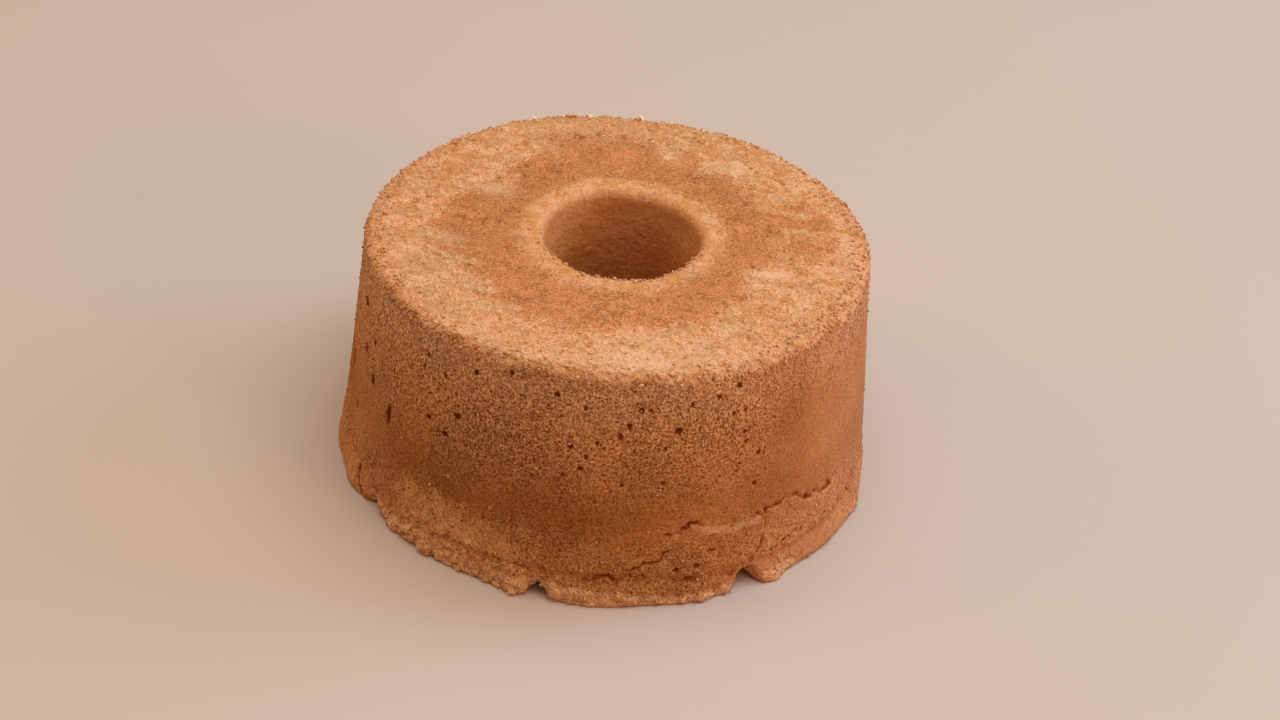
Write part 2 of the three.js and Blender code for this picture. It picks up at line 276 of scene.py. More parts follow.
# Browner spots of the wall (angle, half-width, height, half-height, strength), and browner bands
# (the angles over which one sets in, then height, half-height and strength)
BROWN_SPOTS = [(-62, 7, 20, 9, 0.25), (-42, 8, 23, 7, 0.18)]
BROWN_BANDS = [(26, 42, 71, 8, 0.16), (48, 60, 19, 12, 0.25)]

# Where the wall's crust is thin behind: angle, half-width, and the heights between which it ends
THIN_BEHIND = [(158, 19, 14, 26), (-122, 15, 10, 22)]

# The ragged outer edge of the crust that the top kept, as (angle, radius) round the cake
SKIN_EDGE = [
    (-154, 59), (-145, 52.4), (-133, 51), (-125, 45.5), (-114, 52.4), (-105, 57), (-95, 58.2), (-86, 59.5),
    (-74, 59), (-62, 53.2), (-46, 55.2), (-36, 57.5), (-26, 55.5), (-15, 57.5), (-5, 54.2), (6, 49.3),
    (14, 52.5), (23, 51.5), (29, 56), (35, 51.6), (47, 51.7), (56, 47), (66, 43.9), (77, 53.4), (82, 68),
    (98, 70.7), (108, 69), (117, 65.3), (129, 52), (140, 53), (149, 51), (158, 60.2), (163, 48.5),
    (169, 58.1), (177, 61.1), (186, 62), (195, 62.1),
]
SKIN_STEP = 0.45
SKIN_SOFTNESS = 4
SKIN_BLUR = (-1.5, 0, 1.5)
LIP_BARE_RADIUS = 28.5

# Sizes of the lumps that the surface varies by, the smallest first
FINE_LUMPS, ROUGH_LUMPS, PATCH_LUMPS, BROAD_LUMPS, CLOUD_LUMPS = 1.25, 2.6, 5, 9, 15
RIM_LUMPS, CRACK_LUMPS = 3.2, 4.5

# Face spacing: the wall and the top in even steps, halved again where the surface is torn, and
# once more along the cracks that show
TURNS = 230
FACE_STEP = 1.2
HOLE_STEP = 1.9
SHOWN_CRACKS = 4
CRACK_REACH = 0.9
FOOT_STEP = 9
HAIR = 0.1
ARC_STEPS = 4
SPLIT_RADIUS = 38


def blend(start, end, share):
    return start + (end - start) * share


def turn_between(angle, centre):
    return (angle - centre + 540) % 360 - 180


def ease(value, low, high):
    share = np.clip((value - low) / (high - low), 0, 1)
    return share * share * (3 - 2 * share)


def within(value, run):
    """1 inside a run of values, easing to 0 at both of its ends."""
    start, full, fade, end = run
    return ease(value, start, full) * (1 - ease(value, fade, end))


def mound(distance, half_width):
    return np.exp(-((distance / half_width) ** 2))


def draw_numbers(seed, count):
    """Seeded numbers from 0 to 1."""
    numbers = []
    for _ in range(count):
        seed = (seed * 1664525 + 1013904223) % 4294967296
        numbers.append(seed / 4294967296)
    return numbers


PHASES = draw_numbers(WAVE_SEED, 3 * WAVE_COUNT)


def wave(angle, drift, shift):
    """A gentle wave round the cake, which drifts with height or radius."""
    total = 0
    for k in range(WAVE_COUNT):
        phase = 2 * math.pi * PHASES[(3 * k + shift) % len(PHASES)]
        slant = (PHASES[(3 * k + shift + 1) % len(PHASES)] - 0.5) * WAVE_SLANT
        total = total + np.sin(np.radians(angle) * (k + 2) + phase + drift * slant) / math.sqrt(k + 2)
    return total


def lumps(place, size, seed, waves=26):
    """A smooth random height over lumps of about that size, mostly from -1 to 1."""
    rng = np.random.default_rng(seed)
    total = np.zeros(len(place))
    for _ in range(waves):
        way = rng.normal(size=3)
        way *= 2 * math.pi / (np.linalg.norm(way) * size * rng.uniform(1.5, 2.8))
        total += np.cos(place @ way + rng.uniform(0, 2 * math.pi))
    return total / math.sqrt(waves)


def to_line(angle, height, line, radius):
    """The way along the wall from each spot to a line of (angle, height) points."""
    nearest = np.full(len(angle), np.inf)
    for (start_angle, start_height), (end_angle, end_height) in zip(line, line[1:]):
        across = np.radians(turn_between(angle, start_angle)) * radius
        up = height - start_height
        run_across = math.radians(end_angle - start_angle) * radius
        run_up = end_height - start_height
        share = (across * run_across + up * run_up) / (run_across ** 2 + run_up ** 2)
        share = np.clip(share, 0, 1)
        nearest = np.minimum(nearest, np.hypot(across - run_across * share, up - run_up * share))
    return nearest


def outline():
    """Half the cake cut through its axis: (radius, height) points from the foot out and round."""
    points = [(HOLE_FOOT_RADIUS + FOOT_CHAMFER, 0)]

    def run(end, step):
        start = points[-1]
        steps = round(math.dist(start, end) / step)
        for k in range(1, steps + 1):
            points.append((blend(start[0], end[0], k / steps), blend(start[1], end[1], k / steps)))

    run((RIM_INNER_RADIUS, 0), FOOT_STEP)
    run((WALL_FOOT_RADIUS - RIM_TUCK, 0), 2 * FACE_STEP)
    for height in np.arange(FACE_STEP / 2, RIM_TUCK_HEIGHT, FACE_STEP / 2):
        taper = (WALL_FOOT_RADIUS - WALL_TOP_RADIUS) * height / HEIGHT
        tuck = RIM_TUCK * (1 - ease(height, 0, RIM_TUCK_HEIGHT)) / 2
        points.append((WALL_FOOT_RADIUS - taper - tuck, height))
    wall_end = HEIGHT - SHOULDER_HEIGHT
    run((blend(WALL_FOOT_RADIUS, WALL_TOP_RADIUS, wall_end / HEIGHT), wall_end), FACE_STEP)
    for k in range(1, ARC_STEPS + 1):
        turn = math.radians(90 * k / ARC_STEPS)
        points.append((
            WALL_TOP_RADIUS - SHOULDER_WIDTH * (1 - math.cos(turn)),
            wall_end + SHOULDER_HEIGHT * math.sin(turn),
        ))
    run((HOLE_TOP_RADIUS + HOLE_LIP, HEIGHT), FACE_STEP)
    for k in range(1, ARC_STEPS + 1):
        turn = math.radians(90 * k / ARC_STEPS)
        points.append((
            HOLE_TOP_RADIUS + HOLE_LIP * (1 - math.sin(turn)),
            HEIGHT - HOLE_LIP * (1 - math.cos(turn)),
        ))
    run((HOLE_FOOT_RADIUS, FOOT_CHAMFER), HOLE_STEP)
    return points


def crease_fade(angle):
    """Where the wall runs straight into the rim, with hardly a crease."""
    return CREASE_FADE_SHARE * mound(turn_between(angle, CREASE_FADE_AT), CREASE_FADE_WIDTH)


def slab_head(angle):
    """The height of the long crack, which is the upper edge of the slab, at each angle."""
    return np.interp(angle, *zip(*LONG_CRACK))


def ridge_share(angle, height):
    """1 along the top of the pale ridge under the long crack, and 0 away from it."""
    return within(angle, RIDGE_RUN) * mound(height - slab_head(angle) + RIDGE_BELOW, RIDGE_HALF_HEIGHT)


def wall_relief(angle, height):
    """How far the wall stands out from its straight taper."""
    turn = np.radians(2 * angle)
    rise = height / HEIGHT
    out = -blend(FOOT_OVAL[0], TOP_OVAL[0], rise) * np.cos(turn)
    out -= blend(FOOT_OVAL[1], TOP_OVAL[1], rise) * np.sin(turn)
    out += WALL_WAVE * wave(angle, height, 0) * ease(height, 0, WALL_WAVE_START)
    crease = RIM_HEIGHT + CREASE_WAVE * wave(angle, 0, 2)
    out -= CREASE_DEPTH * (1 - crease_fade(angle)) * mound(height - crease, CREASE_HALF_HEIGHT)
    rim_share = 1 - ease(height, 0, crease)
    out += RIM_FLARE * rim_share
    for at, width, tear_out, _ in RIM_TEARS:
        out += tear_out * rim_share * mound(turn_between(angle, at), width)
    head = slab_head(angle)
    slab = within(angle, SLAB_RUN)
    slab *= ease(height, SLAB_FOOT, SLAB_FOOT + SLAB_SIDE) * (1 - ease(height, head - 1, head + 0.3))
    return out + SLAB_OUT * slab + RIDGE_OUT * ridge_share(angle, height)


def settle(radius, angle, height):
    """Where each point of the true round form is on the risen cake."""
    wall_share = ease(radius, RIM_INNER_RADIUS, WALL_TOP_RADIUS - SHOULDER_WIDTH / 4)
    top_share = ease(height, TOP_WAVE_START, HEIGHT)
    hole_share = 1 - ease(radius, HOLE_TOP_RADIUS, HOLE_TOP_RADIUS + HOLE_WAVE_REACH)
    new_radius = radius + wall_share * wall_relief(angle, height)
    new_radius = new_radius + hole_share * HOLE_WAVE * wave(angle, height, 2)
    top_relief = FRONT_RISE * np.cos(np.radians(angle)) * radius / WALL_TOP_RADIUS
    top_relief = top_relief + TOP_WAVE * wave(angle, radius, 1) - SKIN_STEP * top_bare(angle, radius)
    lift = 0
    for at, width, _, tear_lift in RIM_TEARS:
        lift = lift + tear_lift * mound(turn_between(angle, at), width)
    lift = lift * ease(radius, RIM_INNER_RADIUS, WALL_FOOT_RADIUS - RIM_TUCK)
    lift = lift * (1 - ease(height, 0, RIM_HEIGHT))
    near_hole = 1 - ease(radius, HOLE_FOOT_RADIUS, RIM_INNER_RADIUS)
    rise = height / HEIGHT
    shift = blend(TOP_SHIFT_X * rise, blend(HOLE_SHIFT_X_FOOT, HOLE_SHIFT_X_TOP, rise), near_hole)
    return np.stack([
        np.sin(np.radians(angle)) * new_radius + shift,
        -np.cos(np.radians(angle)) * new_radius,
        height + top_share * top_relief + lift,
    ], axis=1)


def top_bare(angle, radius, stray=0):
    """Where the top lost its crust: 0 on the band of crust round the hole, 1 on bare crumb."""
    angles, radii = zip(*SKIN_EDGE)
    edge = np.interp((angle - angles[0]) % 360 + angles[0], angles, radii)
    return ease(radius + stray, edge - SKIN_SOFTNESS, edge + SKIN_SOFTNESS)


def wall_pits():
    """The pits seen, and more of the same kinds round the back of the wall."""
    pits = list(WALL_PITS)
    numbers = iter(draw_numbers(MORE_PITS_SEED, 4 * MORE_PITS))
    for _ in range(MORE_PITS):
        angle = blend(PITS_FREE_FROM, PITS_FREE_TO, next(numbers))
        height = HEIGHT * (PITS_LOWEST + PITS_SPREAD * next(numbers) ** 0.8)
        size = PIT_SMALLEST + PIT_GROWTH * next(numbers) ** 3
        half_height = size * blend(*PIT_HEIGHT_SHARES, next(numbers))
        pits.append((turn_between(angle, 0), height, size, half_height, size))
    return pits


def pit_share(distance):
    """How deep a round pit is, as a share, at a distance of 0 to 1 from its middle."""
    return np.clip(1 - (distance / PIT_BRIM) ** 2, 0, 1) ** 1.5


shape = bmesh.new()
ring = [shape.verts.new((radius, 0, height)) for radius, height in outline()]
ring_edges = [shape.edges.new(pair) for pair in zip(ring, ring[1:] + ring[:1])]
bmesh.ops.spin(shape, geom=ring + ring_edges, cent=(0, 0, 0), axis=(0, 0, 1), angle=2 * math.pi,
               steps=TURNS, use_merge=True)


def is_round(edge):
    """Whether an edge runs round the cake, on its outer part."""
    first, second = (vert.co for vert in edge.verts)
    radius = math.hypot(first.x, first.y)
    return (
        radius > SPLIT_RADIUS
        and (first.z > 0 or radius > RIM_INNER_RADIUS)
        and abs(first.z - second.z) < 1e-4
        and abs(radius - math.hypot(second.x, second.y)) < 1e-3
    )


bmesh.ops.subdivide_edges(shape, edges=[edge for edge in shape.edges if is_round(edge)], cuts=1,
                          use_grid_fill=True)


def read_round(verts):
    """The radius, angle and height of each vertex, as three rows."""
    x, y, height = np.array([vert.co for vert in verts]).T
    return np.hypot(x, y), np.degrees(np.arctan2(x, -y)), height


def is_torn(radius, angle, height):
    """Where the surface needs its finer faces: the rim, the shoulder, cracks, pits and skin edges."""
    wall = (height < HEIGHT - SHOULDER_HEIGHT) & (radius > RIM_INNER_RADIUS)
    torn = (height < RIM_HEIGHT + 3) & (radius > WALL_FOOT_RADIUS - 3)
    torn |= (height > HEIGHT - SHOULDER_HEIGHT) & (radius > WALL_TOP_RADIUS - SHOULDER_WIDTH - 1)
    for line, _, half_width in CRACKS:
        torn |= wall & (to_line(angle, height, line, radius) < 3 * half_width + 0.8)
    for at, up, half_width, half_height, _ in wall_pits():
        across = np.radians(turn_between(angle, at)) * radius / (half_width + 1)
        torn |= wall & (across ** 2 + ((height - up) / (half_height + 1)) ** 2 < 1)
    top = (height > HEIGHT - HAIR) & (radius > SPLIT_RADIUS)
    bare = top_bare(angle, radius)
    torn |= top & (bare > 0.02) & (bare < 0.98)
    x, y = np.sin(np.radians(angle)) * radius, -np.cos(np.radians(angle)) * radius
    for pit_x, pit_y, half_width, _ in TOP_PITS:
        torn |= top & (np.hypot(x - pit_x, y - pit_y) < half_width + 1)
    return torn


def is_cracked(radius, angle, height):
    """Where the surface needs its finest faces: along the cracks that show and the seam."""
    lines = [line for line, _, _ in CRACKS[:SHOWN_CRACKS]] + [SEAM]
    nearest = np.minimum.reduce([to_line(angle, height, line, radius) for line in lines])
    return (nearest < CRACK_REACH) & (radius > WALL_TOP_RADIUS)


for needs_splitting in (is_torn, is_cracked):
    shape.verts.index_update()
    marked = needs_splitting(*read_round(shape.verts))
    faces = [face for face in shape.faces if all(marked[vert.index] for vert in face.verts)]
    edges = dict.fromkeys(edge for face in faces for edge in face.edges)
    bmesh.ops.subdivide_edges(shape, edges=list(edges), cuts=1, use_grid_fill=True)
bmesh.ops.recalc_face_normals(shape, faces=shape.faces)


def put_in_order(shape):
    """Orders the vertices by place, then the faces by vertices, so that each run is the same."""
    shape.verts.index_update()
    rank = np.argsort(np.lexsort(np.array([vert.co for vert in shape.verts]).T))
    shape.verts.sort(key=lambda vert: rank[vert.index])
    shape.verts.index_update()
    shape.faces.index_update()
    corners = [sorted(vert.index for vert in face.verts) for face in shape.faces]
    rank = np.argsort(sorted(range(len(corners)), key=corners.__getitem__))
    shape.faces.sort(key=lambda face: rank[face.index])


put_in_order(shape)
radius, angle, height = read_round(shape.verts)
for face in shape.faces:
    face.smooth = True
cake_mesh = bpy.data.meshes.new("cake")
shape.to_mesh(cake_mesh)
shape.free()
place = settle(radius, angle, height)


def set_places(mesh, place):
    mesh.vertices.foreach_set("co", np.ascontiguousarray(place, dtype=np.float32).ravel())
    mesh.update()


def read_normals(mesh):
    normals = np.empty(3 * len(mesh.vertices), dtype=np.float32)
    mesh.vertex_normals.foreach_get("vector", normals)
    return normals.reshape(-1, 3).astype(float)


set_places(cake_mesh, place)
normals = read_normals(cake_mesh)

# Where each kind of surface lies, as runs of angles, radii and heights
BEHIND = (78, 100)
WORN_SIDE, WORN_RADII = (66, 84, 118, 140), (38, 56)
OUTER_TOP = (66, 72)
RIM_BARE_RUN = (-60, -54, 26, 30)
RIM_BARE_SPOTS = [(40, 5, 0.8), (66, 4, 0.35)]
RIM_BARE_HEIGHT = 4.6
THIN_RUN, THIN_HEIGHTS = (-54, -42, -26, -4), (17, 28)
SMOOTH_RUN = (26, 46, 96, 112)
SMOOTH_FOOT_RUN, SMOOTH_FOOT_HEIGHTS = (24, 40, 80, 100), (7, 11)
SLAB_SKIN_RUN, SLAB_SKIN_HEIGHTS = (8, 16, 54, 62), (7, 10)
SHUT_RUN, SHUT_HEIGHT = (20, 22.5, 32, 35), 23
# The top's far side is painted darker, browner and greyer, as shade where it turns away from the light
FAR_SIDE, FAR_HALF_WIDTH, FAR_RADII = -170, 50, (50, 68)
LEFT_OF_HOLE, LEFT_HALF_WIDTH = -85, 40
LIP_RADIUS, LIP_HALF_WIDTH = 28, 5

fine = lumps(place, FINE_LUMPS, 13)
rough = lumps(place, ROUGH_LUMPS, 11)
patchy = lumps(place, PATCH_LUMPS, 18)
broad = lumps(place, BROAD_LUMPS, 12)
cloudy = lumps(place, CLOUD_LUMPS, 19)
x, y = np.sin(np.radians(angle)) * radius, -np.cos(np.radians(angle)) * radius
top = height > HEIGHT - HAIR
wall = (height < HEIGHT - SHOULDER_HEIGHT + HAIR) & (radius > RIM_INNER_RADIUS) & (height > HAIR)
hole = (radius < HOLE_TOP_RADIUS + HOLE_LIP + HAIR) & (height > HAIR) & ~top
behind = ease(np.abs(angle), *BEHIND)
facing = mound(angle, 50)
far_top_shade = mound(turn_between(angle, FAR_SIDE), FAR_HALF_WIDTH) * ease(radius, *FAR_RADII)

# Bare crumb: the top outside its ragged skin, the shoulder, the hole, the torn rim and, half
# bare, the wall where its crust is thin
stray = 1.6 * rough + 2.2 * patchy
crust_share = 1 - sum(top_bare(angle, radius, stray + out) for out in SKIN_BLUR) / len(SKIN_BLUR)
worn_side = within(angle, WORN_SIDE) * ease(radius, *WORN_RADII)
crust_share *= 1 - worn_side * np.clip(0.45 + 0.5 * patchy + 0.3 * rough, 0, 1)
crust_share *= ease(radius, LIP_BARE_RADIUS - 2, LIP_BARE_RADIUS + 9)
crust_share *= 1 - 0.5 * ease(radius, *OUTER_TOP)
bare = np.where(top, 1 - crust_share, 0)
edge_height = HEIGHT - 1.5 + 0.7 * rough + 0.6 * patchy
on_shoulder = (radius > RIM_INNER_RADIUS) * ease(height, edge_height - 1.8, edge_height + 0.8)
bare = np.maximum(bare, on_shoulder)
bare = np.where(hole, 1, bare)
along = within(angle, RIM_BARE_RUN)
for at, half_width, strength in RIM_BARE_SPOTS:
    along = along + strength * mound(turn_between(angle, at), half_width)
along = np.clip(blend(along, ease(wave(angle, 0, 5), -0.6, 0.2), behind), 0, 1)
rim_edge = RIM_BARE_HEIGHT + 0.9 * wave(angle, 0, 3) + 0.7 * rough
rim_bare = along * (1 - ease(height, rim_edge - 1, rim_edge + 1)) * wall
thin = within(angle, THIN_RUN) * (1 - ease(height + 2 * patchy, *THIN_HEIGHTS))
for at, half_width, low_end, high_end in THIN_BEHIND:
    spread = mound(turn_between(angle, at), half_width)
    thin = thin + spread * (1 - ease(height + 2 * patchy, low_end, high_end))
bare = np.maximum(bare, rim_bare)
bare = np.maximum(bare, 0.75 * thin * wall)
# Less bare crumb over the top's far side, as painted shade
bare = np.where(top, bare - 0.4 * far_top_shade, bare)

# Browning, from 0 for pale to 1 for dark, with painted shade in the hole, the top's pits and its far side
side_brown = np.interp(angle, *zip(*BROWN_ROUND), period=360) * np.interp(height, *zip(*BROWN_UP))
skin_brown = 0.38 + 0.13 * patchy + (0.09 + 0.05 * facing) * rough + 0.05 * fine
skin_brown = skin_brown + 0.12 * ease(np.abs(angle), 60, 100)
brown = np.where(wall, side_brown + 0.17 * cloudy, skin_brown)
# The hole is painted darker further down, as shade, with a paler lip at its top
hole_brown_and_shade = blend(blend(1, 0.7, ease(height, 45, 72)), 0.5, ease(height, 75, 79))
# and browner on its upper left wall, painted shade against the window light that reaches there
from_left = mound(turn_between(angle, LEFT_OF_HOLE), LEFT_HALF_WIDTH)
hole_brown_and_shade = hole_brown_and_shade + 0.35 * from_left * (1 - ease(height, 74, 79))
brown = np.where(hole, hole_brown_and_shade, brown)
torn_share = blend(0.46, 0.64, ease(np.abs(angle), 40, 90))
# Browner over the top's far side, as painted shade
bare_brown = 0.5 + torn_share * patchy + (torn_share - 0.16) * rough + 0.9 * far_top_shade
bare_brown = bare_brown + 0.32 * mound(radius - LIP_RADIUS, LIP_HALF_WIDTH)
bare_brown = bare_brown + 0.25 * mound(angle - 80, 24) * mound(radius - 59, 8)
bare_brown = bare_brown + 0.2 * mound(angle + 85, 28) * mound(radius - 71, 8)
bare_brown = bare_brown + 0.15 * mound(angle - 42, 22)
brown = np.where(top, blend(brown, bare_brown, ease(bare, 0.3, 0.6)), brown)
brown = blend(brown, 0.36, rim_bare)
for at, half_width, up, half_height, strength in BROWN_SPOTS:
    brown = brown + strength * wall * mound(angle - at, half_width) * mound(height - up, half_height)
for start, full, up, half_height, strength in BROWN_BANDS:
    brown = brown + strength * wall * ease(angle, start, full) * mound(height - up, half_height)
brown = brown - 0.05 * thin * wall
brown = np.clip(brown + 0.1 * broad, 0, 1)

# Pores: most in the upper wall, few on its smooth right side, and on the top only dots of painted shade
# over its far side
smooth_side = within(angle, SMOOTH_RUN) * (1 - 0.4 * ease(height, 55, 70))
smooth_foot = wall * within(angle, SMOOTH_FOOT_RUN) * (1 - ease(height, *SMOOTH_FOOT_HEIGHTS))
wall_pores = 0.22 + 0.75 * ease(height, 28, 58) + 0.35 * ease(height, 52, 74)
wall_pores = wall_pores + 0.33 * (1 - ease(height, 16, 30))
pores = np.where(wall, wall_pores * (1 - 0.8 * smooth_side * ease(height, 18, 34)), 0.15)
pores = np.where(top, 0.2 * far_top_shade, pores + 0.3 * thin)
pores = np.where(hole, 0.03 * (1 - ease(height, 70, 76)), pores)
pores = pores * (1 - 0.6 * smooth_foot)

# Pale dry dust of crumb, with a painted sheen on the right wall and painted greying over the top's far side
pale = np.zeros(len(radius))
for spot_x, spot_y, half_width, strength in PALE_SPOTS:
    off = np.hypot(x + 2 * patchy - spot_x, y + 1.5 * rough - spot_y)
    pale = np.maximum(pale, top * strength * mound(off, half_width))
# A painted sheen on the right wall, standing in for its grazing reflection
right_wall_sheen = wall * (0.04 * ease(angle, 24, 42) + 0.08 * ease(angle, 46, 62))
right_wall_sheen = right_wall_sheen * (1 - ease(angle, 80, 100))
upper_wall = wall * 0.16 * ease(height + 3 * patchy, 56, 76) * (1 - 0.7 * mound(angle - 40, 12))
ridge = wall * ridge_share(angle, height)
pale = np.maximum.reduce([
    pale,
    0.12 * rim_bare,
    0.1 * top * far_top_shade,
    top * bare * np.clip(0.14 * patchy + 0.08 * rough, 0, 0.3),
    upper_wall,
    0.05 * wall * mound(angle + 62, 9),
    right_wall_sheen * mound(height - 36, 32),
    0.08 * smooth_foot,
    0.08 * wall * thin * np.clip(rough + 0.3 * fine, 0, 1),
    0.34 * ridge * np.clip(0.4 + 0.8 * rough, 0, 1),
])

# How ragged the grain is
over_slab = ease(height - slab_head(angle), -1, 1)
on_slab = within(angle, SLAB_SKIN_RUN) * ease(height, *SLAB_SKIN_HEIGHTS) * (1 - over_slab)
ragged = np.where(wall, 0.12 + 0.08 * on_slab, 0.62)
on_top = np.minimum(0.55 + 0.2 * facing + 0.45 * bare, 1)
ragged = np.maximum(ragged, np.where(top, on_top, 0))
ragged = np.where(hole, blend(0.36, 0.6, ease(height, 77, 80)), ragged)
ragged = np.maximum(ragged, wall * np.maximum(0.65 * thin, 0.8 * rim_bare))
ragged *= 1 - 0.4 * top * mound(radius - LIP_RADIUS - 1, LIP_HALF_WIDTH - 1)

# Relief in millimetres along the surface's own normal. It starts a little sunk, so that the
# lumps stay inside the cake's true form.
SUNK = 0.36
low_wall = wall * (1 - ease(height, 10, 30)) * ease(height, 4, 9)
in_hole = 1 - ease(radius, HOLE_TOP_RADIUS + 2, HOLE_TOP_RADIUS + HOLE_LIP + 3)
puffy = np.abs(rough) - 0.8
crumbly = 0.22 * puffy + 0.2 * fine + 0.26 * patchy
relief = -SUNK + 0.07 * broad + bare * (1 - 0.6 * in_hole) * crumbly
relief += rim_bare * (0.5 * lumps(place, RIM_LUMPS, 14) + 0.2 * puffy)
relief += (1 - bare) * (0.07 * rough + 0.06 * fine) + top * (1 - bare) * (0.14 * rough + 0.1 * patchy)
relief += thin * wall * (0.2 * puffy + 0.2 * fine)
relief += low_wall * (0.12 * rough + 0.12 * fine)

# Cracks, the open seam, pits and small splits, each sunk into the relief and darkened with its own painted
# shade
hollow = np.zeros(len(radius))
bent_angle = angle + 0.35 * rough
bent_height = height + 0.4 * fine
open_share = 0.75 + 0.35 * lumps(place, CRACK_LUMPS, 15)
shut = 0.75 * within(angle, SHUT_RUN) * (height > SHUT_HEIGHT)
for line, depth, half_width in CRACKS:
    off = to_line(bent_angle, bent_height, line, radius)
    relief -= wall * depth * mound(off, half_width * 1.2) * np.clip(open_share, 0.2, 1.3) * (1 - shut)
    shade = np.clip(1.6 * open_share - 0.3, 0.5, 1) * (1 - shut)
    hollow = np.maximum(hollow, wall * 0.85 * mound(off, 0.8 * half_width) * shade)
seam_share = np.clip(0.65 - 0.45 * behind + 0.8 * lumps(place, PATCH_LUMPS, 16), 0, 1)
seam_share = seam_share * (1 - crease_fade(angle))
off = to_line(bent_angle, bent_height, SEAM, radius)
seam_height = RIM_HEIGHT + CREASE_WAVE * wave(angle, 0, 2)
off = np.where(behind > 0.5, np.abs(bent_height - seam_height), off)
relief -= wall * SEAM_DEPTH * mound(off, SEAM_HALF_WIDTH * 1.2) * seam_share
hollow = np.maximum(hollow, wall * 0.9 * mound(off, SEAM_HALF_WIDTH) * seam_share)
for at, up, half_width, half_height, depth in wall_pits():
    across = np.radians(turn_between(angle, at)) * radius / half_width
    share = pit_share(np.hypot(across, (height - up) / half_height))
    relief -= wall * depth * share
    hollow = np.maximum(hollow, wall * np.clip(2.2 * share, 0, 1))
for pit_x, pit_y, half_width, depth in TOP_PITS:
    share = pit_share(np.hypot(x + 1.1 * rough - pit_x, y + 0.9 * fine - pit_y) / half_width)
    relief -= top * 0.9 * depth * share
    # The top's pits are also painted browner, as shade in the dents
    brown += 0.7 * top * share
    hollow = np.maximum(hollow, 0.12 * top * share)
rng = np.random.default_rng(DASH_SEED)
for _ in range(DASH_COUNT):
    at, up = rng.uniform(DASH_FROM, DASH_TO), rng.uniform(DASH_FOOT, DASH_HEAD)
    half_long = rng.uniform(*DASH_HALF_LENGTHS)
    slope = rng.normal(DASH_SLOPE, DASH_SLOPE_SPREAD)
    turn = math.degrees(half_long / WALL_FOOT_RADIUS)
    ends = [(at - turn, up - slope * half_long), (at + turn, up + slope * half_long)]
    share = wall * mound(to_line(bent_angle, bent_height, ends, radius), DASH_HALF_WIDTH)
    relief -= DASH_DEPTH * share
    hollow = np.maximum(hollow, rng.uniform(*DASH_SHADES) * share)
relief *= ease(height, 0, 0.5)
place = place + normals * relief[:, None]

low, high = np.array(cad_box[0]) / MM, np.array(cad_box[1]) / MM
place[:, :2] += ((low + high) / 2 - (place.min(axis=0) + place.max(axis=0)) / 2)[:2]
place = np.clip(place, low, high)
place[:, 2] = np.maximum(place[:, 2], 0)
set_places(cake_mesh, place * MM)


def add_marks(mesh, **marks):
    """Stores numbers from 0 to 1 at the mesh's vertices, for its material."""
    for name, values in marks.items():
        mark = mesh.attributes.new(name, "FLOAT", "POINT")
        mark.data.foreach_set("value", np.ascontiguousarray(values, dtype=np.float32))


add_marks(cake_mesh, bare=bare, brown=brown, pores=pores, hollow=hollow, pale=pale, ragged=ragged)
cake = bpy.data.objects.new("cake", cake_mesh)
bpy.context.scene.collection.objects.link(cake)


class Value:
    """An output of a shader node. Sums on it add Math nodes, and node() adds any other node."""

    def __init__(self, tree, output=None):
        self.tree = tree
        self.output = output

    def node(self, kind, settings=None, inputs=None, output=0):
        made = self.tree.nodes.new(kind)
        for name, setting in (settings or {}).items():
            setattr(made, name, setting)
        for name, value in (inputs or {}).items():
            if isinstance(value, Value):
                self.tree.links.new(value.output, made.inputs[name])
            else:
                made.inputs[name].default_value = value
        return Value(self.tree, made.outputs[output])

    def sum(self, operation, first, second):
        return self.node("ShaderNodeMath", {"operation": operation}, {0: first, 1: second})

    def __add__(self, other):
        return self.sum("ADD", self, other)

    def __radd__(self, other):
        return self.sum("ADD", other, self)

    def __sub__(self, other):
        return self.sum("SUBTRACT", self, other)

    def __rsub__(self, other):
        return self.sum("SUBTRACT", other, self)

    def __mul__(self, other):
        return self.sum("MULTIPLY", self, other)

    def __rmul__(self, other):
        return self.sum("MULTIPLY", other, self)


# The sponge's colours, from light crust to the dark inside of a pore, and its grain in millimetres
# The darkest of these colours also serve as painted shade in hollows, cracks and pits
CRUST_LIGHT = (0.525, 0.174, 0.050, 1)
CRUST_DARK = (0.235, 0.066, 0.0042, 1)
CRUMB_PALE = (0.645, 0.306, 0.145, 1)
CRUMB_GOLD = (0.56, 0.200, 0.036, 1)
LACE = (0.77, 0.384, 0.168, 1)
# the dust colour also paints the sheen on the right wall
DUST_AND_SHEEN = (0.80, 0.53, 0.30, 1)
SHADE = (0.46, 0.27, 0.06, 1)
# painted shade for the hollows of the bare crumb
CAVITY_SHADE = (0.42, 0.158, 0.038, 1)
DEEP = (0.19, 0.032, 0.003, 1)
CELL = 1.0
KNOT = 2.1
CLOT = 2.6
SPECK = 0.8
SMALL_PORE_GAP = 1.5
LARGE_PORE_GAP = 3.4
SWIRL = 1.6
SWIRL_REACH = 1.2
SPONGE_ROUGHNESS = 0.85
SOAK_RADIUS = (1.0, 0.5, 0.22)
SOAK_SCALE = 0.9
SHEEN_TINT = (0.7, 0.82, 1.0, 1)
SHEEN_WEIGHT = 0.01
SHEEN_ROUGHNESS = 0.4


